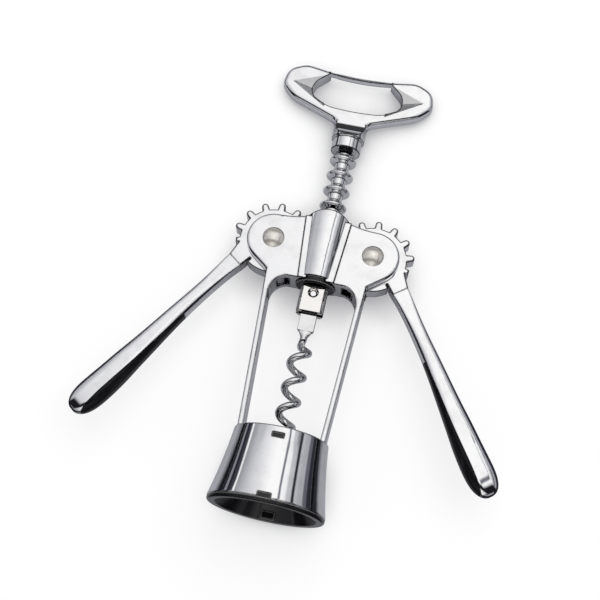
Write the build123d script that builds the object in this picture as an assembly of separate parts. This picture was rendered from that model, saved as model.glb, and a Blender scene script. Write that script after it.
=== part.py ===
from build123d import *
from math import atan2, cos, degrees, hypot, pi, radians, sin, sqrt
import os

# A lever corkscrew, in millimetres. Every piece is drawn on the screw axis, which is Y: the bell's rim is at
# y = 0, the handle is at +Y and the front faces +Z. At the end the tool is laid on its back.

# ---- fits and clearances ------------------------------------------------------------------------------
PRESS_GAP = 0.02        # round faces that are pressed together
RUN_GAP = 0.05          # radial clearance of a turning or sliding fit
SIDE_GAP = 0.3          # flat faces that pass each other
FREE_GAP = 0.45         # round faces that pass each other without guiding
END_PLAY = 0.3          # end play of the rack between the clevis and the collar
MESH_GAP = 0.31         # between a gear's tip and the core of the rack
ROOT_GAP = 0.89         # between the rack's rims and a gear's root

# ---- rack and gears -----------------------------------------------------------------------------------
GEAR_TEETH = 14         # teeth of the full circle that the sectors are cut from
GEAR_PITCH_R = 15.94
TOOTH_RISE = 1.21       # from the pitch circle to the tip
BEAD_R = 5.67
BEAD_ROOT_R = 3.0
BEAD_RIM = 1.8
BEAD_SLOPE = 2.3        # height of a bead's long flank, toward the handle
BEAD_DIP = 0.3          # how far that flank is hollowed
BEAD_UNDERCUT = 0.6     # height of its short flank
BEAD_ROUND = 0.7
BEADS = 8
RACK_PITCH = 2 * pi * GEAR_PITCH_R / GEAR_TEETH
GEAR_TIP_R = GEAR_PITCH_R + TOOTH_RISE
PIVOT_X = BEAD_ROOT_R + MESH_GAP + GEAR_TIP_R
GEAR_ROOT_R = PIVOT_X - BEAD_R - ROOT_GAP
GEAR_RIM = 1.9
GEAR_HUB_R = GEAR_ROOT_R - GEAR_RIM
GEAR_Z = 3.2            # half thickness of a gear sector
GEAR_PHASE = 12.2       # angle of tooth 0 above the line from pivot to rack
FIRST_TOOTH = -2
LAST_TOOTH = 6
PLAIN_FROM = -100.0     # angle from the arm, on its inner side, at which the rim without teeth starts
GEAR_EDGE = 0.4
TOOTH_ROOT_W = 0.49 * RACK_PITCH
TOOTH_TIP_W = 0.39 * RACK_PITCH
TOOTH_ROUND = 1.2       # height of a tooth's round tip
STUB_DROP = 1.6         # how much shorter the last tooth is

# ---- bell and liner -----------------------------------------------------------------------------------
BELL_R = 23.0
BELL_H = 28.1
BELL_HOLLOW = 0.5       # how far the flared side dips inside a straight cone
BELL_WALL = 2.1
ROOF_T = 2.0
BELL_EDGE = 0.4
NECK_R = 15.5           # bore for the head of a bottle
COLLAR_WALL = 0.9       # the liner's wall at its upper end
BELL_TOP_R = NECK_R + COLLAR_WALL + BELL_WALL
CATCH_W = 4.5           # windows that the liner's catches snap into
CATCH_H = 1.8
CATCH_Y = BELL_H - 3.6
CATCH_ROOT = 0.2        # how deep a catch is rooted in the liner's wall
NOTCH_W = 5.0           # notches of the rim, which stop the liner from turning
NOTCH_H = 2.0
LIP_H = 1.4             # how far the liner stands out below the rim
LIP_ROUND = 0.9
LIP_W = 3.25
MOUTH_R = BELL_R - LIP_W
NECK_TOP = BELL_H - ROOF_T - 4.6    # the bottle's lip stops here
FUNNEL_TOP = 6.0
LINER_WALL = 1.6
SKIRT_H = 8.0
STOP_T = 2.0

# ---- legs and shoulders -------------------------------------------------------------------------------
LEG_T = 2.1
LEG_CROWN = 0.6         # the legs' outer faces bulge by this much
LEG_EDGE = 0.6
PLATE_EDGE = 1.2        # round of the shoulders' edges
LEG_BASE_X = BELL_TOP_R - 0.9       # outside of a leg where it leaves the bell
LEG_TOP_X = PIVOT_X + 0.34          # outside of a leg at the top of the window
ROOF_LEDGE = 0.9
STOP_LEDGE = 1.4
ROOF_HOLE_R = LEG_BASE_X - LEG_T - LEG_CROWN - ROOF_LEDGE
STOP_HOLE_R = ROOF_HOLE_R - STOP_LEDGE      # lets the cork up between the legs
CHEEK_T = 3.1           # frame beside a gear
FRAME_Z = GEAR_Z + SIDE_GAP + CHEEK_T       # half the depth of legs and shoulders
WINDOW_H = 63.9
WINDOW_TOP = BELL_H + WINDOW_H
WINDOW_CORNER_R = 7.5
LOBE_R = 10.9
LOBE_END = -52.0        # angle at which a lobe's round runs out, below the pivot

# ---- barrel and bush ----------------------------------------------------------------------------------
BUSH_WALL = 1.2
BUSH_R = BEAD_R + RUN_GAP + BUSH_WALL
BUSH_FLANGE = 0.8       # how far the bush's flange stands out into the window
BARREL_FOOT = WINDOW_TOP + 1.3
BUSH_FLANGE_R = BUSH_R + 1.1
BARREL_H = 29.1
BARREL_TOP = BARREL_FOOT + BARREL_H
BARREL_FOOT_X = BUSH_R + 2.08       # half widths and half depths of the barrel's oval section
BARREL_FOOT_Z = FRAME_Z + 2.0
BARREL_TOP_X = BARREL_FOOT_X + 1.9
BARREL_TOP_Z = BARREL_FOOT_Z + 1.0
BARREL_CROWN_R = 14.6   # radius of the barrel's arched top edge
BARREL_SHOULDER_Y = BARREL_TOP - 2.6
RIB_W = 1.5             # raised strips beside the barrel
RIB_H = 0.7
PIVOT_Y = BARREL_FOOT + 13.6
BUSH_TOP = PIVOT_Y - sqrt((GEAR_TIP_R + SIDE_GAP) ** 2 - (PIVOT_X - BUSH_R) ** 2)

# ---- pivots -------------------------------------------------------------------------------------------
PIN_R = 2.5
HEAD_R = 4.43
HEAD_H = 2.2
TAIL_L = 1.3            # tail of a rivet that its cap is pressed on

# ---- spindle ------------------------------------------------------------------------------------------
GROOVE_0 = PIVOT_Y + GEAR_PITCH_R * radians(GEAR_PHASE)     # height at which tooth 0 points into the rack
TOOTH_SHIFT = (BEAD_SLOPE - BEAD_UNDERCUT) / 4      # a tooth keeps this far off the long flank
LOWEST_GROOVE = GROOVE_0 + FIRST_TOOTH * RACK_PITCH - TOOTH_SHIFT
ROD_R = 1.6
SHANK_W = 6.6
SHANK_T = 2.5
CLEVIS_GAP = 0.1        # side play of the shank in its slot
CLEVIS_WALL = 2.35
CLEVIS_Z = SHANK_T / 2 + CLEVIS_GAP + CLEVIS_WALL
CLEVIS_H = 13.16
CLEVIS_HEAD_H = 1.3
CLEVIS_TOP = LOWEST_GROOVE - RACK_PITCH / 2 + BEAD_RIM / 2
CLEVIS_FOOT = CLEVIS_TOP - CLEVIS_H
SLEEVE_FOOT = CLEVIS_TOP + END_PLAY
SLEEVE_TOP = LOWEST_GROOVE + (BEADS - 0.5) * RACK_PITCH + BEAD_RIM / 2 + BEAD_SLOPE
WORM_RIVET_Y = CLEVIS_TOP - 5.06
WORM_RIVET_R = 1.35
WORM_RIVET_MOUTH_R = 2.1
WORM_RIVET_RECESS = 1.4 # depth of the countersink that its front end lies in
SHANK_TOP = WORM_RIVET_Y + 2.7
SHANK_FOOT = CLEVIS_FOOT - 7.7
SHANK_CORNER = 0.5
WORM_R = 4.65           # outside radius of the worm
WIRE_R = 1.45
WORM_PITCH = 10.3
WORM_TOP = SHANK_FOOT - 8.75        # height at which the coil, counted in turns from +X, passes turn 0
LEAD_TURN = -0.25       # turn at which the bend from the shank joins the coil
WORM_TURNS = 4.0        # turn at which the point ends
POINT_TURNS = 0.4
POINT_WIDTHS = [1.0, 0.88, 0.7, 0.45, 0.14]  # shares of the wire's width, down to the tip
COLLAR_R = 3.9
COLLAR_H = 1.2

# ---- handle -------------------------------------------------------------------------------------------
FLANGE_Y = SLEEVE_TOP + END_PLAY + COLLAR_H
FLANGE_R = 6.2
FLANGE_H = 5.4
FLANGE_EDGE = 0.6
NECK_R_TOP = 6.9
HANDLE_Z = 3.0          # half thickness
HANDLE_EDGE = 2.0       # round of the outline's edges
HANDLE_REACH = 32.9     # half width at the corners that the ends are rounded from
HANDLE_H = 37.9         # from the flange up to those corners at the top
HANDLE_TOP = FLANGE_Y + HANDLE_H
TOP_DISH = 2.15         # how far the top edge sags at the middle
WING_ROOT = FLANGE_Y + 13.2         # height at which the wings leave the neck
BAR_H = 2.15            # height of the cap-lifter bar at the middle
BAR_HALF_W = 13.4
BAR_BACK_Z = 0.0        # the bar has no metal behind this plane
COVE_TOP = WING_ROOT - 1.2          # upper end of the hollow in the neck
COVE_DIP = 0.7
RIDGE_H = 2.05          # height of the ridge's crest, inside the finger opening
RIDGE_SINK = 0.3        # how deep its foot lies in the handle
ROD_TOP = WING_ROOT + 1.7

# ---- levers -------------------------------------------------------------------------------------------
LEVER_ANGLE = 37.0      # angle between a lever and the screw axis
LEVER_L = 105.0
INLAY_L = 55.0
INLAY_END = LEVER_L - 2.2
INLAY_GAP = 0.05


# ---- helpers ------------------------------------------------------------------------------------------
def across(y):
    """Plane square to the screw axis at height y; its own y axis is -Z."""
    return Plane(origin=(0, y, 0), x_dir=(1, 0, 0), z_dir=(0, 1, 0))


def turned(edges):
    """Solid of revolution about Y of a closed outline drawn as (radius, height)."""
    return revolve(make_face(edges), Axis.Y)


def ring(inner, outer, low, high):
    """Plain ring about Y, solid where inner is 0."""
    corners = [(inner, low), (outer, low), (outer, high), (inner, high)]
    return turned(Polyline(*corners, close=True))


def slab(face, half_depth):
    """A face of the front view made as deep to the front as to the back."""
    return Pos(0, 0, -half_depth) * extrude(face, 2 * half_depth)


def both_sides(shape):
    """A shape and its mirror image across the middle plane."""
    return shape + mirror(shape, Plane.YZ)


def block(width, low, high, depth_low, depth_high):
    """Box centred on the middle plane, between two heights and two depths."""
    middle = Pos(0, (low + high) / 2, (depth_low + depth_high) / 2)
    return middle * Box(width, high - low, depth_high - depth_low)


def bell_inside(y):
    """Radius of the bell's inner cone at height y."""
    return BELL_R - BELL_WALL - (BELL_R - BELL_TOP_R) * y / BELL_H


def leg_outside(y):
    """Distance of a leg's outer face from the middle at height y."""
    return LEG_BASE_X + (LEG_TOP_X - LEG_BASE_X) * (y - BELL_H) / (WINDOW_TOP - BELL_H)


def at_pivot(radius, angle):
    """Point of the front view at a radius and an angle from the right pivot."""
    return (PIVOT_X + radius * cos(radians(angle)), PIVOT_Y + radius * sin(radians(angle)))


# ---- frame --------------------------------------------------------------------------------------------
def bell():
    """The flared shell with its roof."""
    flare = ((BELL_R + BELL_TOP_R) / 2 - BELL_HOLLOW, BELL_H / 2)
    roof = BELL_H - ROOF_T
    outline = [
        ThreePointArc((BELL_R, 0), flare, (BELL_TOP_R, BELL_H)),
        Polyline(
            (BELL_TOP_R, BELL_H),
            (ROOF_HOLE_R, BELL_H),
            (ROOF_HOLE_R, roof),
            (bell_inside(roof), roof),
            (bell_inside(0), 0),
            (BELL_R, 0),
        ),
    ]
    shell = turned(outline)
    circles = shell.edges().filter_by(GeomType.CIRCLE)
    ends = [circles.filter_by_position(Axis.Y, y - BELL_EDGE, y + BELL_EDGE) for y in (0, BELL_H)]
    shell = fillet([end.sort_by(SortBy.RADIUS)[-1] for end in ends], BELL_EDGE)
    shell -= block(CATCH_W, CATCH_Y - CATCH_H / 2, CATCH_Y + CATCH_H / 2, -BELL_R, BELL_R)
    return shell - block(NOTCH_W, -LIP_H, NOTCH_H, -2 * BELL_R, 2 * BELL_R)


def leg_section(y, inner_x):
    """Section of the right leg at height y, from inner_x out to its crowned outer face."""
    outer = leg_outside(y)
    outline = [
        ThreePointArc((outer - LEG_CROWN, -FRAME_Z), (outer, 0), (outer - LEG_CROWN, FRAME_Z)),
        ThreePointArc((inner_x, FRAME_Z), (inner_x + LEG_CROWN / 2, 0), (inner_x, -FRAME_Z)),
        Line((outer - LEG_CROWN, FRAME_Z), (inner_x, FRAME_Z)),
        Line((inner_x, -FRAME_Z), (outer - LEG_CROWN, -FRAME_Z)),
    ]
    return across(y) * make_face(outline)


def leg():
    """The right leg, from inside the bell's roof up into the shoulder."""
    low = BELL_H - ROOF_T / 2
    high = WINDOW_TOP + 1
    ends = [leg_section(y, leg_outside(y) - LEG_T - LEG_CROWN) for y in (low, high)]
    strip = loft(ends)
    long_edges = strip.edges().filter_by(lambda e: e.length > (high - low) * 0.9)
    return fillet(long_edges, LEG_EDGE)


def window_corner():
    """The round fill between the right leg and the top of the window, rooted in the shoulder."""
    foot = WINDOW_TOP - WINDOW_CORNER_R
    root = WINDOW_TOP + PLATE_EDGE
    inside = leg_outside(foot) - LEG_T - LEG_CROWN
    start = inside - WINDOW_CORNER_R
    outline = [
        CenterArc((start, foot), WINDOW_CORNER_R, 0, 90),
        Polyline(
            (start, WINDOW_TOP),
            (start, root),
            (LEG_TOP_X + 1, root),
            (LEG_TOP_X + 1, foot),
            (inside, foot),
        ),
    ]
    reach = loft([leg_section(y, 0) for y in (foot - 1, root + 1)])
    body = slab(make_face(outline), FRAME_Z) & reach
    arcs = body.edges().filter_by(GeomType.CIRCLE).filter_by(lambda edge: abs(edge.center().Z) > FRAME_Z / 2)
    return fillet(arcs, LEG_EDGE)


def emerging(half_width, half_depth):
    """Distance from the middle at which an oval of the barrel comes out of the shoulder's face."""
    return half_width * sqrt(1 - (FRAME_Z / half_depth) ** 2)


def shoulder():
    """The right shoulder with the round lobe over its pivot, as deep as the legs."""
    lobe_foot = at_pivot(LOBE_R, LOBE_END)
    slope = -cos(radians(LOBE_END)) / sin(radians(LOBE_END))
    leg_meet = (LEG_TOP_X, lobe_foot[1] - (lobe_foot[0] - LEG_TOP_X) * slope)
    lobe_top = at_pivot(LOBE_R, 90)
    barrel_meet = (emerging(BARREL_TOP_X, BARREL_TOP_Z), BARREL_SHOULDER_Y)
    outline = [
        Polyline(
            barrel_meet,
            (0, BARREL_SHOULDER_Y),
            (0, WINDOW_TOP),
            (LEG_TOP_X, WINDOW_TOP),
            leg_meet,
            lobe_foot,
        ),
        ThreePointArc(lobe_foot, at_pivot(LOBE_R, 0), lobe_top),
        TangentArc(lobe_top, barrel_meet, tangent=(-1, 0)),
    ]
    plate = slab(make_face(outline), FRAME_Z)
    faces = plate.faces().filter_by(Axis.Z).edges()
    outer = faces.filter_by(lambda edge: edge.center().X > BARREL_TOP_X)
    under = faces.filter_by(lambda edge: edge.center().Y < WINDOW_TOP + PRESS_GAP)
    return fillet(outer - under, PLATE_EDGE)


def barrel():
    """The tapered oval barrel with its arched top and the strips beside it."""
    foot = across(BARREL_FOOT) * Ellipse(BARREL_FOOT_X, BARREL_FOOT_Z)
    top = across(BARREL_TOP) * Ellipse(BARREL_TOP_X, BARREL_TOP_Z)
    body = loft([foot, top])
    crown = Pos(0, BARREL_TOP - BARREL_CROWN_R, 0) * Circle(BARREL_CROWN_R)
    straight = BARREL_TOP - BARREL_CROWN_R - BARREL_FOOT
    below = Pos(0, BARREL_FOOT) * Rectangle(4 * BARREL_TOP_X, 2 * straight)
    body &= slab(crown + below, 2 * BARREL_TOP_Z)
    strip = Polyline(
        (emerging(BARREL_FOOT_X, BARREL_FOOT_Z) + RIB_W, WINDOW_TOP),
        (emerging(BARREL_TOP_X, BARREL_TOP_Z) + RIB_W, BARREL_SHOULDER_Y - RIB_W / 2),
        (0, BARREL_SHOULDER_Y - RIB_W / 2),
        (0, WINDOW_TOP),
        close=True,
    )
    return body + both_sides(slab(make_face(strip), FRAME_Z + RIB_H))


def frame_casting():
    """Bell, legs, shoulders and barrel, cast in one piece, with the slots and bores for what it carries."""
    body = bell() + both_sides(leg() + window_corner() + shoulder()) + barrel()
    slot = Pos(PIVOT_X, PIVOT_Y) * Circle(GEAR_TIP_R + FREE_GAP)
    body -= both_sides(slab(slot, GEAR_Z + SIDE_GAP))
    body -= ring(0, BEAD_R + FREE_GAP, WINDOW_TOP - 1, BARREL_TOP + 1)
    body -= ring(0, BUSH_R + PRESS_GAP, WINDOW_TOP - 1, BUSH_TOP + PRESS_GAP)
    body -= ring(0, BUSH_FLANGE_R + PRESS_GAP, WINDOW_TOP - 1, BARREL_FOOT)
    bore = Cylinder(PIN_R + PRESS_GAP, 4 * FRAME_Z)
    return body - [Pos(side * PIVOT_X, PIVOT_Y) * bore for side in (-1, 1)]


def bell_liner():
    """The black liner: rim lip, funnel, bottle bore, stop, and the catches that hold it in the bell."""
    outer = BELL_R - BELL_EDGE / 2
    top = BELL_H - ROOF_T - PRESS_GAP
    sleeve_r = NECK_R + LINER_WALL
    outline = [
        Polyline(
            (outer - LIP_ROUND, -LIP_H),
            (MOUTH_R, -LIP_H),
            (NECK_R, FUNNEL_TOP),
            (NECK_R, NECK_TOP),
            (STOP_HOLE_R, NECK_TOP),
            (STOP_HOLE_R, NECK_TOP + STOP_T),
            (NECK_R, NECK_TOP + STOP_T),
            (NECK_R, top),
            (bell_inside(top) - PRESS_GAP, top),
            (bell_inside(NECK_TOP) - PRESS_GAP, NECK_TOP),
            (sleeve_r, NECK_TOP),
            (sleeve_r, SKIRT_H / 2),
            (bell_inside(SKIRT_H) - LINER_WALL, SKIRT_H),
            (bell_inside(SKIRT_H) - PRESS_GAP, SKIRT_H),
            (bell_inside(0) - PRESS_GAP, 0),
            (outer, 0),
            (outer, LIP_ROUND - LIP_H),
        ),
        CenterArc((outer - LIP_ROUND, LIP_ROUND - LIP_H), LIP_ROUND, 0, -90),
    ]
    body = turned(outline)
    lug_w = NOTCH_W - 2 * PRESS_GAP
    lugs = block(lug_w, -LIP_H / 2, NOTCH_H - PRESS_GAP, -BELL_R, BELL_R)
    lugs &= ring(NECK_R + LINER_WALL, BELL_R - BELL_EDGE, -LIP_H, NOTCH_H)
    catch_h = CATCH_H - 2 * PRESS_GAP
    catch_w = CATCH_W - 2 * PRESS_GAP
    catches = block(catch_w, CATCH_Y - catch_h / 2, CATCH_Y + catch_h / 2, -BELL_R, BELL_R)
    catches &= ring(NECK_R + CATCH_ROOT, BELL_TOP_R, CATCH_Y - CATCH_H, CATCH_Y + CATCH_H)
    return body + lugs + catches


def guide_bush():
    """The black bush in the barrel's foot that the rack slides through."""
    flange = ring(BUSH_R - BUSH_WALL, BUSH_FLANGE_R, WINDOW_TOP - BUSH_FLANGE, BARREL_FOOT)
    return flange + ring(BUSH_R - BUSH_WALL, BUSH_R, WINDOW_TOP - BUSH_FLANGE, BUSH_TOP)


def dome(low, height):
    """Spherical cap on a flat foot, along +Y."""
    sphere_r = (HEAD_R**2 + height**2) / (2 * height)
    centre = low + height - sphere_r
    middle = (atan2(low - centre, HEAD_R) + pi / 2) / 2
    outline = [
        ThreePointArc(
            (HEAD_R, low),
            (sphere_r * cos(middle), centre + sphere_r * sin(middle)),
            (0, low + height),
        ),
        Polyline((0, low + height), (0, low), (HEAD_R, low)),
    ]
    return turned(outline)


def on_pivot(shape, side):
    """A piece turned about Y, stood on the Z axis of a pivot."""
    return Pos(side * PIVOT_X, PIVOT_Y) * Rot(90, 0, 0) * shape


def pivot_rivet(side):
    """Rivet with its domed head in front and its tail behind."""
    pin = ring(0, PIN_R, -FRAME_Z - TAIL_L, FRAME_Z)
    return on_pivot(pin + dome(FRAME_Z, HEAD_H), side)


def rivet_cap(side):
    """Domed cap on the tail of a rivet, behind the shoulder."""
    cap = dome(FRAME_Z, HEAD_H) - ring(0, PIN_R + PRESS_GAP, 0, FRAME_Z + TAIL_L + PRESS_GAP)
    return on_pivot(mirror(cap, Plane.XZ), side)


# ---- rack ---------------------------------------------------------------------------------------------
def bead(y):
    """One tooth of the rack, round like a bead, with its rim centred on y."""
    half = BEAD_RIM / 2
    low = y - half - BEAD_UNDERCUT
    top = y + half + BEAD_SLOPE
    flank = ((BEAD_R - BEAD_ROUND + BEAD_ROOT_R) / 2 - BEAD_DIP, (y + half + top) / 2 - BEAD_DIP)
    outline = [
        Polyline((0, low), (BEAD_ROOT_R, low), (BEAD_R - BEAD_ROUND, y - half)),
        ThreePointArc((BEAD_R - BEAD_ROUND, y - half), (BEAD_R, y), (BEAD_R - BEAD_ROUND, y + half)),
        ThreePointArc((BEAD_R - BEAD_ROUND, y + half), flank, (BEAD_ROOT_R, top)),
        Polyline((BEAD_ROOT_R, top), (0, top), (0, low)),
    ]
    return turned(outline)


def rack_sleeve():
    """The round rack: a sleeve with eight beads that turns free on the rod."""
    body = ring(0, BEAD_ROOT_R, SLEEVE_FOOT, SLEEVE_TOP)
    beads = [bead(LOWEST_GROOVE + (index + 0.5) * RACK_PITCH) for index in range(BEADS)]
    return body + beads - ring(0, ROD_R + RUN_GAP, SLEEVE_FOOT - 1, SLEEVE_TOP + 1)


# ---- spindle ------------------------------------------------------------------------------------------
def spindle_shaft():
    """Rod through the rack, with the flat-sided clevis at its foot."""
    clevis = ring(0, BEAD_R, CLEVIS_FOOT, CLEVIS_TOP)
    clevis &= block(4 * BEAD_R, CLEVIS_FOOT, CLEVIS_TOP, -CLEVIS_Z, CLEVIS_Z)
    clevis += ring(0, BEAD_R, CLEVIS_TOP - CLEVIS_HEAD_H, CLEVIS_TOP)
    slot = SHANK_T / 2 + CLEVIS_GAP
    clevis -= block(4 * BEAD_R, CLEVIS_FOOT - 1, SHANK_TOP + CLEVIS_GAP, -slot, slot)
    across_bore = Pos(0, WORM_RIVET_Y) * Cylinder(WORM_RIVET_R + PRESS_GAP, 4 * CLEVIS_Z)
    sink = Cone(WORM_RIVET_R + PRESS_GAP, WORM_RIVET_MOUTH_R, WORM_RIVET_RECESS)
    recess = Pos(0, WORM_RIVET_Y, CLEVIS_Z - WORM_RIVET_RECESS / 2) * sink
    return clevis - across_bore - recess + ring(0, ROD_R, CLEVIS_TOP - CLEVIS_HEAD_H, ROD_TOP)


def coil_plane(turn):
    """Plane square to the worm's wire, some turns below the coil's start, with its x axis outward."""
    radius = WORM_R - WIRE_R
    angle = 2 * pi * turn
    outward = Vector(cos(angle), 0, sin(angle))
    heading = Vector(-2 * pi * radius * sin(angle), -WORM_PITCH, 2 * pi * radius * cos(angle))
    point = outward * radius + Vector(0, WORM_TOP - WORM_PITCH * turn, 0)
    return Plane(origin=point, x_dir=outward, z_dir=heading)


def worm():
    """Shank plate, the bend below it, the coil and its point, of one wire."""
    shank = block(SHANK_W, SHANK_FOOT, SHANK_TOP, -SHANK_T / 2, SHANK_T / 2)
    shank = chamfer(shank.edges().filter_by(Axis.Z), SHANK_CORNER)
    shank -= Pos(0, WORM_RIVET_Y) * Cylinder(WORM_RIVET_R + PRESS_GAP, 4 * SHANK_T)
    bend_top = Vector(0, SHANK_FOOT - SHANK_T, 0)
    shoulder_w = SHANK_W - 2 * SHANK_CORNER
    shoulder_top = across(SHANK_FOOT + SHANK_CORNER) * Rectangle(shoulder_w, SHANK_T - CLEVIS_GAP)
    swage = loft([across(bend_top.Y) * Circle(WIRE_R), shoulder_top])
    start = coil_plane(LEAD_TURN)
    bend = Spline(bend_top, start.origin, tangents=(Vector(0, -1, 0), start.z_dir))
    whole_turns = WORM_TURNS - POINT_TURNS
    helix = Helix(WORM_PITCH, WORM_PITCH * (whole_turns - LEAD_TURN), WORM_R - WIRE_R)
    helix = Pos(0, WORM_TOP - WORM_PITCH * LEAD_TURN, 0) * Rot(90, 0, 0) * Rot(0, 0, 360 * LEAD_TURN) * helix
    wire = sweep(Plane(origin=bend_top, z_dir=(0, -1, 0)) * Circle(WIRE_R), Wire([bend, helix]))
    step = POINT_TURNS / (len(POINT_WIDTHS) - 1)
    tip = [coil_plane(whole_turns + i * step) * Circle(w * WIRE_R) for i, w in enumerate(POINT_WIDTHS)]
    return shank + swage + wire + loft(tip)


def worm_rivet():
    """Small rivet that holds the worm's shank in the clevis."""
    pin = ring(0, WORM_RIVET_R, -CLEVIS_Z, CLEVIS_Z - WORM_RIVET_RECESS)
    return Pos(0, WORM_RIVET_Y) * Rot(90, 0, 0) * pin


def neck_collar():
    """Plain spacer ring between the rack and the handle."""
    return ring(ROD_R + PRESS_GAP, COLLAR_R, FLANGE_Y - COLLAR_H, FLANGE_Y)


def handle_point(reach, rise):
    """Point of the front view, by shares of the handle's half width and height above the wings' root."""
    return (reach * HANDLE_REACH, WING_ROOT + rise * (HANDLE_TOP - WING_ROOT))


def handle_outline():
    """Outer outline of the handle: neck, wings and the long dished top."""
    half = [
        (NECK_R_TOP, FLANGE_Y + FLANGE_H / 4),
        (NECK_R_TOP, WING_ROOT),
        handle_point(0.833, 0.318),
        handle_point(1.0, 0.547),
        handle_point(0.965, 0.86),
        handle_point(0.74, 1.01),
        (BAR_HALF_W, handle_point(0, 0.939)[1]),
        (0, HANDLE_TOP - TOP_DISH),
    ]
    rounds = [0.09, 0.425, 0.137, 0.2, 0.27, 0.912]  # corner radii, as shares of the half width
    radii = [HANDLE_REACH * share for share in rounds + [2.43] + rounds[::-1]]
    corners = half + [(-x, y) for x, y in half[-2::-1]]
    line = FilletPolyline(*corners, radius=radii)
    return make_face([line, Line(corners[-1], corners[0])])


def hole_outline():
    """Finger opening of the handle, with the sagging cap-lifter edge on top."""
    bar_foot = HANDLE_TOP - BAR_H
    half = [
        handle_point(0.365, 0.229),
        handle_point(0.608, 0.415),
        handle_point(0.568, 0.669),
        (BAR_HALF_W, bar_foot - 0.37 * TOP_DISH),
        (0.67 * BAR_HALF_W, bar_foot - 0.65 * TOP_DISH),
    ]
    height = HANDLE_TOP - WING_ROOT
    radii = [0.68 * height, 0.178 * height, 0.25 * height, 0.06 * BAR_HALF_W, 0.75 * BAR_HALF_W]
    corners = half + [(0, bar_foot - TOP_DISH)] + [(-x, y) for x, y in half[::-1]]
    corners.append(handle_point(0, 0.203))
    flat_r = 2.6 * HANDLE_REACH
    return make_face(FilletPolyline(*corners, radius=radii + [flat_r] + radii[::-1] + [flat_r], close=True))


def ridge():
    """Low three-sided ridge on the right end of the handle, rising toward the finger opening."""
    foot_z = HANDLE_Z - RIDGE_SINK
    tip = (*handle_point(0.93, 0.644), foot_z)
    crest = (*handle_point(0.42, 0.408), HANDLE_Z + RIDGE_H)
    low = (*handle_point(0.4, 0.194), foot_z)
    high = (BAR_HALF_W, handle_point(0, 0.928)[1], foot_z)
    sides = [(tip, crest, low), (tip, high, crest), (high, low, crest), (tip, low, high)]
    return Solid(Shell([Face(Wire.make_polygon(side)) for side in sides]))


def scoop():
    """What the front of the neck loses: a hollow across it and all that stands above the handle's face."""
    low = FLANGE_Y + FLANGE_H
    edge_z = NECK_R_TOP - 0.1
    middle = ((low + COVE_TOP) / 2, (HANDLE_Z + edge_z) / 2 - COVE_DIP)
    outline = [
        ThreePointArc((low, edge_z), middle, (COVE_TOP, HANDLE_Z)),
        Polyline(
            (COVE_TOP, HANDLE_Z),
            (HANDLE_TOP, HANDLE_Z),
            (HANDLE_TOP, 3 * HANDLE_Z),
            (low, 3 * HANDLE_Z),
            (low, edge_z),
        ),
    ]
    face = Plane.YZ * make_face(outline)
    return Pos(-2 * NECK_R_TOP, 0, 0) * extrude(face, 4 * NECK_R_TOP)


def handle():
    """Cast handle: finger ring with the cap lifter, neck and flange."""
    neck_low = FLANGE_Y + FLANGE_H
    plate = slab(handle_outline(), HANDLE_Z)
    layers = plate.edges().group_by(Axis.Z)
    rims = (layers[0] + layers[-1]).filter_by(lambda edge: edge.center().Y > neck_low)
    plate = fillet(rims, HANDLE_EDGE)
    plate -= block(4 * NECK_R_TOP, FLANGE_Y - 1, neck_low, -2 * HANDLE_Z, 2 * HANDLE_Z)
    neck_outline = Polyline(
        (0, FLANGE_Y),
        (FLANGE_R, FLANGE_Y),
        (FLANGE_R, neck_low - FLANGE_EDGE),
        (NECK_R_TOP, neck_low),
        (NECK_R_TOP, WING_ROOT),
        (0, WING_ROOT),
        close=True,
    )
    neck = turned(neck_outline) - scoop() - mirror(scoop(), Plane.XY)
    opening = slab(hole_outline(), 3 * HANDLE_Z)
    bar_low = HANDLE_TOP - BAR_H - 2 * TOP_DISH
    behind_bar = block(2 * BAR_HALF_W, bar_low, HANDLE_TOP + 1, -2 * HANDLE_Z, BAR_BACK_Z)
    body = plate + neck + both_sides(ridge()) - opening - behind_bar
    return body - ring(0, ROD_R + PRESS_GAP, FLANGE_Y - 1, ROD_TOP + PRESS_GAP)


# ---- levers -------------------------------------------------------------------------------------------
# A lever is drawn with its pivot at the origin, its arm along +X and its outer side toward +Y.
ARM_SECTIONS = [
    # along the arm, inner side and outer side in hundredths of the lever's length, then half thickness as a
    # multiple of the gear's, and corner radius as a share of that half thickness
    (16.3, 0.6, 7.2, 1.0, 0.16),
    (25.8, 0.6, 6.5, 1.03, 0.42),
    (36.4, -0.1, 5.9, 1.09, 0.63),
    (49.8, -1.5, 5.4, 1.19, 0.68),
    (62.2, -3.35, 4.9, 1.28, 0.73),
    (73.7, -5.15, 4.7, 1.375, 0.77),
    (84.2, -6.6, 4.4, 1.41, 0.82),
    (91.9, -6.95, 4.15, 1.31, 0.86),
    (96.2, -6.2, 3.3, 1.08, 0.86),
    (98.9, -4.6, 1.7, 0.72, 0.86),
    (100.0, -2.6, -0.3, 0.31, 0.8),
]
PERCENT = LEVER_L / 100


def arm_section(along, inner, outer, thickness, rounding):
    """Rounded section of the arm, from one row of the table."""
    half = thickness * GEAR_Z
    middle = (along * PERCENT, (inner + outer) / 2 * PERCENT, 0)
    plane = Plane(origin=middle, x_dir=(0, 1, 0), z_dir=(1, 0, 0))
    return plane * RectangleRounded((outer - inner) * PERCENT, 2 * half, rounding * half)


def arm():
    """The whole rounded arm, metal and inlay together."""
    return loft([arm_section(*row) for row in ARM_SECTIONS])


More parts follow.
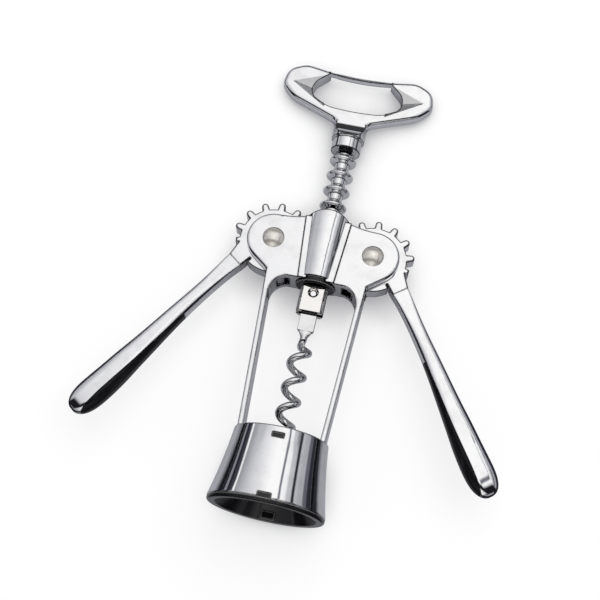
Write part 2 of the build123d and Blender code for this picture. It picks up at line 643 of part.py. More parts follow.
def inlay_region(gap):
    """Front view of the space for the inlay, smaller all round by gap."""
    end = INLAY_END - gap
    start = INLAY_END - INLAY_L + gap
    line = [(0, -0.35), (0.31, -1.75), (0.54, -2.85), (0.75, -3.5), (0.9, -4.1), (1, -4.9)]
    edge = [(start + (end - start) * share, side * PERCENT - gap) for share, side in line]
    outside = -3 * GEAR_Z
    return make_face([Spline(*edge), Polyline(edge[-1], (end, outside), (start, outside), edge[0])])


def gear_sector():
    """The toothed disc at the pivot, in the arm's own frame."""
    step = 360 / GEAR_TEETH
    first_angle = 180 + 90 - LEVER_ANGLE - GEAR_PHASE
    toothed_from = first_angle - (LAST_TOOTH + 1) * step
    toothed_to = first_angle - FIRST_TOOTH * step + step / 4
    rim = CenterArc((0, 0), GEAR_ROOT_R, toothed_from, toothed_to - toothed_from)
    disc = make_face([rim, Line(rim @ 1, (0, 0)), Line((0, 0), rim @ 0)]) + Circle(GEAR_HUB_R)
    plain = CenterArc((0, 0), GEAR_ROOT_R, PLAIN_FROM, -PLAIN_FROM)
    disc += make_face([plain, Line(plain @ 1, (0, 0)), Line((0, 0), plain @ 0)])
    for index in range(FIRST_TOOTH, LAST_TOOTH + 1):
        disc += Rot(0, 0, first_angle - index * step) * tooth()
    disc += Rot(0, 0, toothed_from + step / 8) * stub_tooth()
    start, inner, outer = [PERCENT * value for value in ARM_SECTIONS[0][:3]]
    web = Polyline(
        (0, inner),
        (start + SIDE_GAP, inner),
        (start + SIDE_GAP, outer),
        (0, GEAR_HUB_R),
        close=True,
    )
    return disc + make_face(web)


def tooth():
    """One gear tooth along +X, with straight flanks and a round tip."""
    half = TOOTH_TIP_W / 2
    shoulder_x = GEAR_TIP_R - TOOTH_ROUND
    edges = [
        Polyline(
            (shoulder_x, half),
            (GEAR_HUB_R, TOOTH_ROOT_W / 2),
            (GEAR_HUB_R, -TOOTH_ROOT_W / 2),
            (shoulder_x, -half),
        ),
        ThreePointArc((shoulder_x, -half), (GEAR_TIP_R, 0), (shoulder_x, half)),
    ]
    return make_face(edges)


def stub_tooth():
    """The last tooth, cut short where the arm begins."""
    reach = GEAR_TIP_R - STUB_DROP
    half = TOOTH_ROOT_W / 2
    tip = TOOTH_TIP_W / 3
    outline = Polyline((GEAR_HUB_R, half), (reach, tip), (reach, -tip), (GEAR_HUB_R, -half), close=True)
    return make_face(outline)


def lever_metal():
    """Chromed lever of the right side, in its own frame, with the pocket for its inlay."""
    whole = arm() - slab(inlay_region(0), 3 * GEAR_Z)
    gear = slab(gear_sector(), GEAR_Z)
    rims = gear.faces().filter_by(Axis.Z).edges()
    clear_of_root = GEAR_ROOT_R + GEAR_EDGE
    teeth = rims.filter_by(lambda edge: hypot(edge.center().X, edge.center().Y) > clear_of_root)
    gear = chamfer(teeth, GEAR_EDGE)
    return gear + whole - Cylinder(PIN_R + RUN_GAP, 4 * GEAR_Z)


def lever_inlay():
    """Black inlay of the right lever, in its own frame."""
    return arm() & slab(inlay_region(INLAY_GAP), 3 * GEAR_Z)


def on_side(shape, side):
    """A lever piece moved to its pivot at rest; the left one is the right one's mirror image."""
    right = Pos(PIVOT_X, PIVOT_Y) * Rot(0, 0, LEVER_ANGLE - 90) * shape
    return right if side > 0 else mirror(right, Plane.YZ)


# ---- the whole tool, laid on its back -----------------------------------------------------------------
def all_pieces():
    """Every piece by name, on the screw axis."""
    pieces = {
        "frame_casting": frame_casting(),
        "bell_liner": bell_liner(),
        "guide_bush": guide_bush(),
        "rack_sleeve": rack_sleeve(),
        "handle": handle(),
        "neck_collar": neck_collar(),
        "spindle_shaft": spindle_shaft(),
        "worm": worm(),
        "worm_rivet": worm_rivet(),
    }
    for name, side in (("left", -1), ("right", 1)):
        pieces["pivot_rivet_" + name] = pivot_rivet(side)
        pieces["rivet_cap_" + name] = rivet_cap(side)
        pieces["lever_" + name] = on_side(lever_metal(), side)
        pieces["inlay_" + name] = on_side(lever_inlay(), side)
    return pieces


def lean_angle():
    """Slope of the screw axis when the rim's notch corners and the handle's top edge touch the table."""
    rim_z = sqrt(BELL_R**2 - (NOTCH_W / 2) ** 2)
    return degrees(atan2(rim_z - HANDLE_Z, HANDLE_TOP - HANDLE_EDGE))


pieces = all_pieces()
tilt = Rot(-lean_angle(), 0, 0)
laid = {name: tilt * piece for name, piece in pieces.items()}
boxes = [piece.bounding_box() for piece in laid.values()]
front_y = max(box.max.Y for box in boxes)
back_y = min(box.min.Y for box in boxes)
shift = Pos(0, -(front_y + back_y) / 2, -min(box.min.Z for box in boxes))
print(f"axis leans {lean_angle():.5f} degrees, rim centre at {tuple(shift.position)}")

os.makedirs("parts", exist_ok=True)
for name, piece in laid.items():
    export_step(shift * piece, f"parts/{name}.step")
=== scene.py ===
"""A lever corkscrew in polished chrome, lying on its back on a white table.

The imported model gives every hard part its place. This script dresses those parts, adds the studio
round them and sets the camera. Everything is in metres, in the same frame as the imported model.

Two things that look like reflections are painted into the finishes instead: a line along sharp
edges, and a dark stretch on the spindle's end and round the foot of the rivets. The tent that the
chrome mirrors is arranged for the one camera in Studio, so from most other sides the chrome looks
darker.
"""

import logging
import math
from dataclasses import dataclass, field
from enum import Enum
from typing import Any, Dict, List, Optional, Sequence, Tuple, Union

import bpy
import numpy as np
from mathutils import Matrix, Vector

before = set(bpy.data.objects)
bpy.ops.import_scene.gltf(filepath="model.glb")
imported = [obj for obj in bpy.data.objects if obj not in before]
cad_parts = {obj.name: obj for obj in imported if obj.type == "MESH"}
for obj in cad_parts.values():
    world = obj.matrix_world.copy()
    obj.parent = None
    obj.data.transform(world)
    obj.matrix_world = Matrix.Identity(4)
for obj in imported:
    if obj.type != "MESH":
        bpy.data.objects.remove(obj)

LOG = logging.getLogger("corkscrew")
Colour = Tuple[float, float, float]
Triple = Tuple[float, float, float]
Pair = Tuple[float, float]

WHITE: Colour = (1.0, 1.0, 1.0)
DEGREES = 180 / math.pi     # in one radian
ROUND_SAMPLES = 6           # rays that round the normal over an edge
LINE_SAMPLES = 8            # rays that look for an edge to paint a line on
LINE_FADE: Pair = (0.005, 0.02)     # where that line begins and is full, as 1 - cosine of a turn
SENSOR = 36.0               # width of the camera's sensor, in millimetres


@dataclass(frozen=True)
class Pattern:
    """One noise pattern.

    Attributes:
        scale: Its cells to the metre.
        detail: How many finer layers it has.
        rough: How strong each layer is, as a share of the one before it.
        fade: Values of the noise at which a mask made from it begins and is full.
    """

    scale: float
    detail: float = 2.0
    rough: float = 0.5
    fade: Pair = (0.0, 1.0)


HAZE = Pattern(160.0, 4.0, 0.6, (0.42, 0.72))       # rougher patches on chrome
DUST = Pattern(2600.0)                              # specks under the plate
BLOTCH = Pattern(420.0, 4.0, 0.6, (0.35, 0.7))      # second tone of satin steel
GRAIN = Pattern(5200.0, 3.0, 0.6)                   # tumbled grain of satin steel
FLOW = Pattern(300.0, 3.0, 0.5, (0.5, 0.8))         # flow marks of moulded plastic
MOULD = Pattern(3000.0)                             # the mould's fine texture
PAPER = Pattern(30.0, 3.0, 0.5, (0.2, 0.8))         # faint tone of the table top


def tinted(colour: Colour, share: float) -> Colour:
    """Gives a share of a colour."""
    return tuple(share * value for value in colour)


class Sock:
    """One output socket of a shader graph. Arithmetic on it adds Math nodes."""

    def __init__(self, graph: "Graph", socket: bpy.types.NodeSocket) -> None:
        """Keeps the socket and the graph that it belongs to."""
        self.graph = graph
        self.socket = socket

    def math(self, operation: str, *others: Any) -> "Sock":
        """Adds one Math node.

        Args:
            operation: The Math node's operation.
            others: Its second and third values, as numbers or sockets.

        Returns:
            The node's value.
        """
        values = {i + 1: other for i, other in enumerate(others)}
        return self.graph.node("ShaderNodeMath", {"operation": operation}, {0: self, **values})

    def __add__(self, other: Any) -> "Sock":
        """Gives self + other."""
        return self.math("ADD", other)

    def __radd__(self, other: Any) -> "Sock":
        """Gives other + self."""
        return self.math("ADD", other)

    def __sub__(self, other: Any) -> "Sock":
        """Gives self - other."""
        return self.math("SUBTRACT", other)

    def __rsub__(self, other: Any) -> "Sock":
        """Gives other - self."""
        return self.graph.node("ShaderNodeMath", {"operation": "SUBTRACT"}, {0: other, 1: self})

    def __mul__(self, other: Any) -> "Sock":
        """Gives self * other."""
        return self.math("MULTIPLY", other)

    def __rmul__(self, other: Any) -> "Sock":
        """Gives other * self."""
        return self.math("MULTIPLY", other)

    def step(self, low: float, high: float) -> "Sock":
        """Rises smoothly from 0 at low to 1 at high."""
        return self.graph.node("ShaderNodeMapRange", {"interpolation_type": "SMOOTHSTEP"},
                               {"Value": self, "From Min": low, "From Max": high}, "Result")


class Graph:
    """The node tree of one material or world, with one method for every node."""

    def __init__(self, tree: bpy.types.NodeTree) -> None:
        """Empties the tree and keeps it."""
        self.tree = tree
        tree.nodes.clear()

    def node(self, kind: str, settings: Optional[Dict[str, Any]] = None,
             inputs: Optional[Dict[Any, Any]] = None, output: Union[int, str] = 0) -> Sock:
        """Adds a node.

        Args:
            kind: The node's type.
            settings: Its own settings, set before its sockets.
            inputs: The values or links of its sockets, by name or number.
            output: The name or number of the output wanted.

        Returns:
            That output.
        """
        made = self.tree.nodes.new(kind)
        for name, value in (settings or {}).items():
            if name == "stops":
                self._ramp(made.color_ramp, value)
            else:
                setattr(made, name, value)
        for name, value in (inputs or {}).items():
            if isinstance(value, Sock):
                self.tree.links.new(value.socket, made.inputs[name])
            else:
                made.inputs[name].default_value = value
        return Sock(self, made.outputs[output])

    @staticmethod
    def _ramp(ramp: bpy.types.ColorRamp, stops: Sequence[Tuple[float, Colour]]) -> None:
        """Sets a colour ramp's stops."""
        while len(ramp.elements) < len(stops):
            ramp.elements.new(0.5)
        for element, (place, colour) in zip(ramp.elements, stops):
            element.position = place
            element.color = (*colour, 1.0)

    def place(self) -> Sock:
        """Gives the point's own place on the object."""
        return self.node("ShaderNodeTexCoord", output="Object")

    def scaled(self, factors: Triple) -> Sock:
        """Gives the point's place times a factor along each axis."""
        return self.node("ShaderNodeVectorMath", {"operation": "MULTIPLY"},
                         {0: self.place(), 1: factors}, "Vector")

    def noise(self, where: Sock, pattern: Pattern) -> Sock:
        """Gives a pattern's noise, from 0 to 1 about 0.5."""
        return self.node("ShaderNodeTexNoise", {"noise_dimensions": "3D"}, {
            "Vector": where, "Scale": pattern.scale, "Detail": pattern.detail,
            "Roughness": pattern.rough}, "Fac")

    def mix(self, share: Any, first: Any, second: Any) -> Sock:
        """Blends two colours by share, from 0 to 1."""
        made = self.tree.nodes.new("ShaderNodeMix")
        made.data_type = "RGBA"
        for name, value in ((0, share), (6, first), (7, second)):
            if isinstance(value, Sock):
                self.tree.links.new(value.socket, made.inputs[name])
            else:
                made.inputs[name].default_value = value if name == 0 else (*value, 1.0)
        return Sock(self, made.outputs[2])

    def bump(self, height: Sock, distance: float, edge: float = 0.0) -> Sock:
        """Turns a height into a normal.

        Args:
            height: The height, from 0 to 1.
            distance: How deep that is, in metres.
            edge: The radius that sharp edges seem to be rounded with, in metres.

        Returns:
            The normal.
        """
        inputs = {"Height": height, "Distance": distance}
        if edge:
            inputs["Normal"] = self.node(
                "ShaderNodeBevel", {"samples": ROUND_SAMPLES}, {"Radius": edge})
        return self.node("ShaderNodeBump", None, inputs, "Normal")

    def near_edge(self, radius: float) -> Sock:
        """Gives 1 on sharp edges and 0 on surfaces that run smoothly for a radius in metres."""
        rounded = self.node("ShaderNodeBevel", {"samples": LINE_SAMPLES}, {"Radius": radius})
        plain = self.node("ShaderNodeNewGeometry", output="Normal")
        along = self.node("ShaderNodeVectorMath", {"operation": "DOT_PRODUCT"},
                          {0: rounded, 1: plain}, "Value")
        return (1.0 - along).step(*LINE_FADE)

    def finish(self, shader: Sock, kind: str = "ShaderNodeOutputMaterial") -> None:
        """Sends the shader to the tree's output."""
        end = self.tree.nodes.new(kind)
        self.tree.links.new(shader.socket, end.inputs["Surface"])


def new_material(name: str) -> Tuple[bpy.types.Material, Graph]:
    """Makes an empty material and gives it with its graph."""
    material = bpy.data.materials.new(name)
    material.use_nodes = True
    return material, Graph(material.node_tree)


@dataclass(frozen=True)
class Zone:
    """A stretch of a finish that is painted dark along one axis of the part.

    It is no mark on the real surface. It stands in for a dark reflection that the tent doesn't give
    there, and it stays where it is on the part from every side.

    Attributes:
        axis: "X", "Y" or "Z".
        clear: Place where the finish still has its own colour, in metres.
        full: Place from which it is fully dark.
        shade: What is left of the tint there.
    """

    axis: str
    clear: float
    full: float
    shade: float = 0.03

    def over(self, graph: Graph, colour: Any, tint: Colour) -> Sock:
        """Gives the colour with the dark stretch on it.

        Args:
            graph: The material's graph.
            colour: The finish's own colour.
            tint: The tint that the shade is a share of.

        Returns:
            The colour.
        """
        along = graph.node("ShaderNodeSeparateXYZ", None, {0: graph.place()}, self.axis)
        return graph.mix(along.step(self.clear, self.full), colour, tinted(tint, self.shade))


@dataclass(frozen=True)
class Chrome:
    """Bright plate over a casting or a turned part.

    Attributes:
        name: The material's name.
        tint: The metal's colour.
        gloss: Its roughness where it is cleanest.
        haze: How much rougher the hazed patches are.
        wave: Depth of the casting's slow waves, in metres.
        span: Waves to the metre.
        wave_detail: How many finer layers the waves have.
        wave_rough: How strong each of those layers is.
        edge: Radius that sharp edges seem to be rounded with, in metres.
        border: How far a painted line reaches on both sides of a sharp edge, in metres. It stands
            in for the dark reflections along the real part's rounded edges.
        line: How bright that line is, as a share of the tint.
        hazed: How bright the hazed patches are, as a share of the tint.
        dust: How high the specks are, as a share of the waves.
        zone: Where the finish is painted dark.
    """

    name: str
    tint: Colour = (0.9, 0.9, 0.91)
    gloss: float = 0.03
    haze: float = 0.03
    wave: float = 0.000008
    span: float = 70.0
    wave_detail: float = 1.0
    wave_rough: float = 0.4
    edge: float = 0.0006
    border: float = 0.0008
    line: float = 0.01
    hazed: float = 0.9
    dust: float = 0.004
    zone: Optional[Zone] = None

    def build(self) -> bpy.types.Material:
        """Makes the material: slow waves from casting, fine haze and a trace of colour change."""
        material, graph = new_material(self.name)
        place = graph.place()
        haze = graph.noise(place, HAZE).step(*HAZE.fade)
        waves = graph.noise(place, Pattern(self.span, self.wave_detail, self.wave_rough))
        specks = graph.noise(place, DUST)
        normal = graph.bump(waves + specks * self.dust, self.wave, self.edge)
        plated = graph.mix(haze, self.tint, tinted(self.tint, self.hazed))
        if self.zone:
            plated = self.zone.over(graph, plated, self.tint)
        line = tinted(self.tint, self.line)
        shader = graph.node("ShaderNodeBsdfPrincipled", None, {
            "Base Color": graph.mix(graph.near_edge(self.border), plated, line), "Metallic": 1.0,
            "Roughness": haze * self.haze + self.gloss, "Normal": normal}, "BSDF")
        graph.finish(shader)
        return material


@dataclass(frozen=True)
class Satin:
    """Plain metal with a soft sheen, as on the rivets' domes.

    Attributes:
        name: The material's name.
        tint: The metal's colour.
        gloss: Its roughness.
        metal: How metallic it is; the rest is a matt bloom.
        zone: Where the finish is painted dark.
        grain: Depth of its fine grain, in metres.
        second: How bright its second tone is, as a share of the tint.
        duller: How much rougher that tone is.
    """

    name: str
    tint: Colour
    gloss: float = 0.28
    metal: float = 1.0
    zone: Optional[Zone] = None
    grain: float = 0.000004
    second: float = 0.8
    duller: float = 0.1

    def build(self) -> bpy.types.Material:
        """Makes the material: fine tumbled grain and blotches of a second tone."""
        material, graph = new_material(self.name)
        place = graph.place()
        blotch = graph.noise(place, BLOTCH).step(*BLOTCH.fade)
        grain = graph.noise(place, GRAIN)
        plain = graph.mix(blotch, self.tint, tinted(self.tint, self.second))
        if self.zone:
            plain = self.zone.over(graph, plain, self.tint)
        shader = graph.node("ShaderNodeBsdfPrincipled", None, {
            "Base Color": plain, "Metallic": self.metal,
            "Roughness": blotch * self.duller + self.gloss,
            "Normal": graph.bump(grain, self.grain)}, "BSDF")
        graph.finish(shader)
        return material


@dataclass(frozen=True)
class Plastic:
    """Moulded black plastic.

    Attributes:
        name: The material's name.
        tint: The plastic's colour.
        gloss: Its roughness.
        shine: How much it mirrors.
        texture: Depth of its moulded texture, in metres.
        rim: Tone of a painted line along its sharp edges, for the light that rounded edges catch.
            Where it is 0 there is no line.
        rim_reach: How far that line reaches on both sides of an edge, in metres.
        stretch: Factors along x, y and z that draw its flow marks out.
        pale: How bright the flow marks are, as a multiple of the tint.
        fine: How high the mould's fine texture is, as a share of the flow marks.
        fine_rough: How much rougher that texture makes it.
        index: Its index of refraction.
    """

    name: str
    tint: Colour = (0.006, 0.006, 0.007)
    gloss: float = 0.12
    shine: float = 0.4
    texture: float = 0.000006
    rim: float = 0.0
    rim_reach: float = 0.0004
    stretch: Triple = (1.0, 0.25, 1.0)
    pale: float = 2.2
    fine: float = 0.2
    fine_rough: float = 0.06
    index: float = 1.5

    def build(self) -> bpy.types.Material:
        """Makes the material: faint flow marks from moulding under a gloss."""
        material, graph = new_material(self.name)
        flow = graph.noise(graph.scaled(self.stretch), FLOW)
        fine = graph.noise(graph.place(), MOULD)
        body = graph.mix(flow.step(*FLOW.fade), self.tint, tinted(self.tint, self.pale))
        if self.rim:
            body = graph.mix(graph.near_edge(self.rim_reach), body, (self.rim,) * 3)
        shader = graph.node("ShaderNodeBsdfPrincipled", None, {
            "Base Color": body,
            "Roughness": fine * self.fine_rough + self.gloss, "IOR": self.index,
            "Specular IOR Level": self.shine,
            "Normal": graph.bump(flow + fine * self.fine, self.texture)}, "BSDF")
        graph.finish(shader)
        return material


class Finish(Enum):
    """The finishes on this corkscrew, each under the name of a material slot of the record.

    The worm's and the spindle's finishes share a name. The spindle's shaft and the worm's rivet
    wear another finish here than the slot that the record gives them.
    """

    CHROME_CASTING = Chrome("chrome_casting")
    CHROME_HANDLE = Chrome("chrome_handle")
    CHROME_LEVER = Chrome("chrome_lever")
    CHROME_TURNED = Chrome("chrome_turned", wave=0.000002, span=200.0, edge=0.0003, border=0.0006)
    WORM_STEEL = Chrome("dark_chrome", tint=(0.82, 0.82, 0.82), wave=0.000002, span=150.0,
                        edge=0.0002, border=0.0003)
    # The spindle shares the worm's material name, though its own tint is bright: the dark stretch
    # on it is a painted dark reflection.
    SPINDLE = Chrome("dark_chrome", tint=(0.92, 0.90, 0.87), wave=0.000002, span=150.0, edge=0.0002,
                     border=0.0004, zone=Zone("Y", -0.0034, -0.0026, 0.02))
    # This dark stretch also covers the caps at the back, because they lie wholly below it.
    SATIN_STEEL = Satin("satin_steel", (0.86, 0.82, 0.76), gloss=0.22, metal=0.7,
                        zone=Zone("Z", 0.0193, 0.0188, 0.04))
    BLACK_PLASTIC = Plastic("black_plastic", rim=0.16)
    GLOSS_BLACK = Plastic("gloss_black", gloss=0.05, shine=0.12, texture=0.000003)


@dataclass
class Wardrobe:
    """Every finish, built once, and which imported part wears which."""

    wears: Dict[str, Finish] = field(default_factory=lambda: {
        "frame_casting": Finish.CHROME_CASTING, "bell_liner": Finish.BLACK_PLASTIC,
        "guide_bush": Finish.BLACK_PLASTIC, "pivot_rivet_left": Finish.SATIN_STEEL,
        "pivot_rivet_right": Finish.SATIN_STEEL, "rivet_cap_left": Finish.SATIN_STEEL,
        "rivet_cap_right": Finish.SATIN_STEEL, "rack_sleeve": Finish.CHROME_TURNED,
        "handle": Finish.CHROME_HANDLE, "neck_collar": Finish.CHROME_TURNED,
        "spindle_shaft": Finish.SPINDLE, "worm": Finish.WORM_STEEL,
        "worm_rivet": Finish.CHROME_TURNED, "lever_left": Finish.CHROME_LEVER,
        "lever_right": Finish.CHROME_LEVER, "inlay_left": Finish.GLOSS_BLACK,
        "inlay_right": Finish.GLOSS_BLACK})
    built: Dict[Finish, bpy.types.Material] = field(default_factory=dict)

    def material(self, finish: Finish) -> bpy.types.Material:
        """Gives the material of a finish, made on first use."""
        if finish not in self.built:
            self.built[finish] = finish.value.build()
        return self.built[finish]

    def dress(self, nodes: Dict[str, bpy.types.Object]) -> None:
        """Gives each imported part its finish.

        Args:
            nodes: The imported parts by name.
        """
        for name, finish in self.wears.items():
            node = nodes[name]
            node.data.materials.clear()
            node.data.materials.append(self.material(finish))
            LOG.info("%s wears %s", name, finish.value.name)


def skin(name: str, grid: np.ndarray, wrap: bool = False) -> bpy.types.Object:
    """Turns a grid of points into one smooth surface.

    Four neighbouring points of the grid make a face. Going up the rows and then along the columns
    turns left as seen from outside.

    Args:
        name: The piece's name.
        grid: Rows by columns by three coordinates, in metres.
        wrap: Whether the last column joins the first.

    Returns:
        The piece, in the scene.
    """
    rows, columns = grid.shape[:2]
    index = np.arange(rows * columns).reshape(rows, columns)
    here = index if wrap else index[:, :-1]
    beside = np.roll(index, -1, axis=1) if wrap else index[:, 1:]
    faces = np.stack([here[:-1], beside[:-1], beside[1:], here[1:]], axis=-1).reshape(-1, 4)
    mesh = bpy.data.meshes.new(name)
    mesh.from_pydata(grid.reshape(-1, 3), [], faces)
    mesh.polygons.foreach_set("use_smooth", np.ones(len(faces), dtype=bool))
    made = bpy.data.objects.new(name, mesh)
    bpy.context.scene.collection.objects.link(made)
    return made


def flat(name: str, lines: Sequence[float], height: float) -> bpy.types.Object:
    """Lays a level square.

    Args:
        name: The piece's name.
        lines: Places of its grid lines along x and along y, in metres.
        height: Its height, in metres.

    Returns:
        The piece, in the scene.
    """
    x, y = np.meshgrid(lines, lines)
    return skin(name, np.stack([x, y, np.full_like(x, height)], axis=-1))


@dataclass
class Tent:
    """A studio tent: what the chrome mirrors, never seen by the camera itself.

    A dome of cloth goes over the object, white overhead and dark towards the horizon, with black
    strips to the left and right, and a grey card lies on the table round the object. The strips are
    arranged for one camera.

    Attributes:
        radius: The dome's radius, in metres.
        dip: How far the dome reaches below the horizon, in degrees.
        crown: Height of the dome's last row, in degrees.
        rows: Rows of points up the dome.
        columns: Columns of points round it.
        card_lift: Height of the card over the table, in metres.
        overhead: Tones of the dome by the angle from straight up towards +x, in degrees.
        ends: How dark the dome is towards its two ends, by the angle from its middle towards +y.
        dark: Colour of the dome where it is fully dark.
        spread: How many times narrower the bands are in the middle than towards +y.
        middle_tilt: Angles towards +y at which the middle begins to end and has ended, in degrees.
        middle_turn: The same for the angle from straight up towards either side.
        lilac: Powers that turn a grey tone's red, green and blue a little lilac.
        ground: Tones of the card by its distance along +x, in metres.
        foot: Between these distances along +y the card turns from black to its tones, in metres.
        card_black: Colour of the card where it is black, a dark stretch that only the chrome
            mirrors.
    """

    radius: float = 1.5
    dip: float = 4.0
    crown: float = 89.9
    rows: int = 48
    columns: int = 96
    card_lift: float = 0.0002
    overhead: Tuple[Pair, ...] = (
        (-125, 0.01), (-86, 0.02), (-84, 0.05), (-78, 0.05), (-76, 0.97), (-73, 0.97), (-71, 0.34),
        (-60, 0.46), (-40, 0.70), (-20, 0.88), (-8, 0.98), (2, 1.05), (22, 1.05), (24, 0.2),
        (27, 0.2), (29, 1.0), (38, 0.95), (43, 0.60), (52, 0.55), (54, 0.03), (58, 0.02),
        (61, 0.55), (68, 0.45), (79, 0.42), (81, 0.15), (90, 0.12), (94, 0.02), (125, 0.01))
    ends: Tuple[Pair, ...] = (
        (-90, 0.1), (-37, 0.1), (-29, 1.0), (-11, 1.0), (-4, 0.0), (52, 0.0), (58, 0.3), (64, 0.97),
        (90, 0.97))
    dark: Colour = (0.012, 0.012, 0.015)
    spread: float = 1.3
    middle_tilt: Pair = (25.5, 29.0)
    middle_turn: Pair = (38.0, 55.0)
    lilac: Triple = (1.04, 1.03, 0.94)
    ground: Tuple[Pair, ...] = (
        (-0.50, 0.25), (-0.30, 0.25), (-0.28, 0.02), (-0.10, 0.02), (-0.07, 0.42), (0.0, 0.45),
        (0.06, 0.42), (0.08, 0.03), (0.50, 0.03))
    foot: Pair = (-0.112, -0.102)
    card_black: Colour = (0.01, 0.01, 0.01)

    def tones(self, graph: Graph, along: Sock, stops: Sequence[Pair]) -> Sock:
        """Gives the tone at a place between stops, as a colour that is a little lilac where grey.

        Args:
            graph: The graph that it goes in.
            along: The place, in the units of the stops.
            stops: Places and tones.

        Returns:
            The colour.
        """
        low, high = stops[0][0], stops[-1][0]
        share = graph.node("ShaderNodeMapRange", None,
                           {"Value": along, "From Min": low, "From Max": high}, "Result")
        coloured = [((place - low) / (high - low),
                     tuple(tone ** power for power in self.lilac)) for place, tone in stops]
        return graph.node("ShaderNodeValToRGB", {"stops": coloured}, {"Fac": share}, "Color")

    @staticmethod
    def hide(piece: bpy.types.Object) -> None:
        """Leaves a piece to the mirrors alone."""
        piece.visible_camera = False
        piece.visible_diffuse = False
        piece.visible_shadow = False
        piece.visible_transmission = False

    def dome(self) -> bpy.types.Object:
        """Sews the dome: a sphere's latitudes from below the horizon to the top."""
        around = np.radians(np.linspace(0, 360, self.columns + 1)[:-1])[None, :]
        up = np.radians(np.linspace(-self.dip, self.crown, self.rows))[:, None]
        grid = self.radius * np.stack([np.cos(up) * np.cos(around), np.cos(up) * np.sin(around),
                                       np.sin(up) * np.ones_like(around)], axis=-1)
        made = skin("tent", grid, wrap=True)
        material, graph = new_material("tent_cloth")
        place = graph.node("ShaderNodeVectorMath", {"operation": "NORMALIZE"}, {0: graph.place()},
                           "Vector")
        x, y, z = [graph.node("ShaderNodeSeparateXYZ", None, {0: place}, axis) for axis in "XYZ"]
        tilt = y.math("ARCSINE") * DEGREES
        plain = x.math("ARCTAN2", z) * DEGREES
        beside = plain.math("ABSOLUTE").step(*self.middle_turn)
        middle = (1.0 - tilt.step(*self.middle_tilt)) * (1.0 - beside)
        turn = plain * (middle * (self.spread - 1) + 1)
        cloth = self.tones(graph, turn, self.overhead)
        shade = graph.mix(self.tones(graph, tilt, self.ends), cloth, self.dark)
        graph.finish(graph.node("ShaderNodeEmission", None, {"Color": shade, "Strength": 1.0}, 0))
        made.data.materials.append(material)
        self.hide(made)
        return made

    def card(self) -> bpy.types.Object:
        """Lays the grey card on the table, with a dark strip on either side of the object."""
        made = flat("ground_card", (-self.radius, 0.0, self.radius), self.card_lift)
        material, graph = new_material("ground_card")
        place = graph.place()
        along = graph.node("ShaderNodeSeparateXYZ", None, {0: place}, "X")
        up = graph.node("ShaderNodeSeparateXYZ", None, {0: place}, "Y")
        tone = graph.mix(up.step(*self.foot), self.card_black, self.tones(graph, along, self.ground))
        graph.finish(graph.node("ShaderNodeBsdfDiffuse", None,
                                {"Color": tone, "Roughness": 0.5}, 0))
        made.data.materials.append(material)
        self.hide(made)
        return made


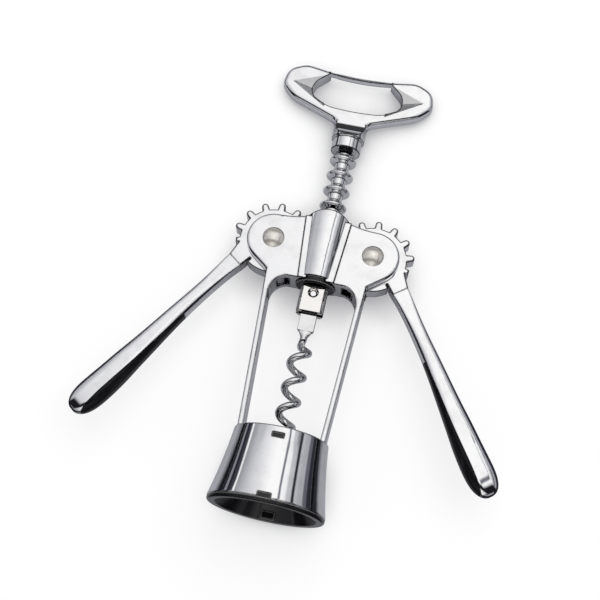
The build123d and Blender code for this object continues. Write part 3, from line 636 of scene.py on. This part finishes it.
@dataclass
class Studio:
    """The table, the tent, the lamp, the world and the camera.

    Attributes:
        table_size: Side of the table's square top, in metres.
        camera_place: Where the camera stands.
        camera_turn: The camera's turn about x, y and z, in degrees.
        lens: Its focal length, in millimetres.
        clip: Nearest and farthest distance that it sees, in metres.
        paper: The table's two tones, of which the second shows only as a trace.
        trace: How strong that trace is.
        glow: The share of the table's white that the lamp's shadows cannot darken.
        contact: How far the contact shadows reach, in metres. Ambient occlusion paints them into
            the table's own light.
        contact_fade: How open a spot is where such a shadow is full and where it ends.
        contact_tone: Colour of a full contact shadow.
        contact_samples: Rays that look for it.
        lamp_size: Sides of the lamp, in metres.
        lamp_place: Where it hangs. It points at the middle of the table.
        lamp_power: Its power, in watts.
        dim: Strength of the surroundings' light on matt surfaces. In mirrors it is 1.
        tent: What the chrome mirrors.
    """

    table_size: float = 6.0
    camera_place: Triple = (0.032625, -0.120096, 0.456781)
    camera_turn: Triple = (14.7312, 1.7781, 11.9261)
    lens: float = 68.13
    clip: Pair = (0.01, 20.0)
    paper: Tuple[Colour, Colour] = ((0.95, 0.95, 0.95), (0.9, 0.9, 0.9))
    trace: float = 0.01
    glow: float = 0.75
    contact: float = 0.016
    contact_fade: Pair = (0.3, 0.95)
    contact_tone: Colour = (0.42, 0.42, 0.44)
    contact_samples: int = 16
    lamp_size: Pair = (1.2, 1.0)
    lamp_place: Triple = (0.25, 0.35, 1.1)
    lamp_power: float = 9.0
    dim: float = 0.65
    tent: Tent = field(default_factory=Tent)

    @staticmethod
    def shown(graph: Graph) -> Sock:
        """Gives 1 where a ray comes from the camera, a mirror or glass, and 0 elsewhere."""
        paths = [graph.node("ShaderNodeLightPath", output=name)
                 for name in ("Is Camera Ray", "Is Glossy Ray", "Is Transmission Ray")]
        return paths[0].math("MAXIMUM", paths[1]).math("MAXIMUM", paths[2])

    def table(self) -> bpy.types.Object:
        """Lays the white table top: mostly lit by itself, so that shadows on it stay soft."""
        material, graph = new_material("table_top")
        tone = graph.noise(graph.place(), PAPER).step(*PAPER.fade) * self.trace
        matt = graph.node("ShaderNodeBsdfDiffuse", None, {
            "Color": graph.mix(tone, *self.paper), "Roughness": 0.5}, "BSDF")
        nearby = graph.node("ShaderNodeAmbientOcclusion", {"samples": self.contact_samples},
                            {"Distance": self.contact}, "AO")
        lit = graph.mix(nearby.step(*self.contact_fade), self.contact_tone, WHITE)
        glow = graph.node("ShaderNodeEmission", None, {"Color": lit, "Strength": 1.0}, 0)
        both = graph.node("ShaderNodeMixShader", None,
                          {"Fac": self.shown(graph) * self.glow, 1: matt, 2: glow}, 0)
        graph.finish(both)
        made = flat("table", (-self.table_size / 2, self.table_size / 2), 0.0)
        made.data.materials.append(material)
        return made

    def lamps(self) -> None:
        """Hangs one broad soft lamp over the table."""
        data = bpy.data.lights.new("soft_box", "AREA")
        data.shape = "RECTANGLE"
        data.size, data.size_y = self.lamp_size
        data.energy = self.lamp_power
        lamp = bpy.data.objects.new("soft_box", data)
        lamp.location = self.lamp_place
        aim = Vector((0.0, 0.0, 0.0)) - lamp.location
        lamp.rotation_mode = "QUATERNION"
        lamp.rotation_quaternion = aim.to_track_quat("-Z", "Y")
        lamp.visible_glossy = False
        bpy.context.scene.collection.objects.link(lamp)

    def world(self) -> None:
        """Sets the white surroundings."""
        world = bpy.data.worlds.new("white_room")
        bpy.context.scene.world = world
        world.use_nodes = True
        graph = Graph(world.node_tree)
        strength = self.shown(graph) * (1 - self.dim) + self.dim
        graph.finish(graph.node("ShaderNodeBackground", None, {
            "Color": (1, 1, 1, 1), "Strength": strength}, 0), "ShaderNodeOutputWorld")

    def camera(self) -> None:
        """Sets up the camera."""
        data = bpy.data.cameras.new("camera")
        data.lens = self.lens
        data.sensor_width = SENSOR
        data.clip_start, data.clip_end = self.clip
        made = bpy.data.objects.new("camera", data)
        made.location = self.camera_place
        made.rotation_euler = [math.radians(angle) for angle in self.camera_turn]
        bpy.context.scene.collection.objects.link(made)
        bpy.context.scene.camera = made

    def build(self) -> None:
        """Sets the whole studio up."""
        self.camera()
        self.table()
        self.tent.dome()
        self.tent.card()
        self.lamps()
        self.world()
        bpy.context.scene.view_settings.view_transform = "Standard"


def main() -> None:
    """Builds the studio and dresses the parts."""
    logging.basicConfig(level=logging.INFO, format="%(message)s")
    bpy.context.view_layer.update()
    Studio().build()
    Wardrobe().dress(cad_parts)


if __name__ == "__main__":
    main()
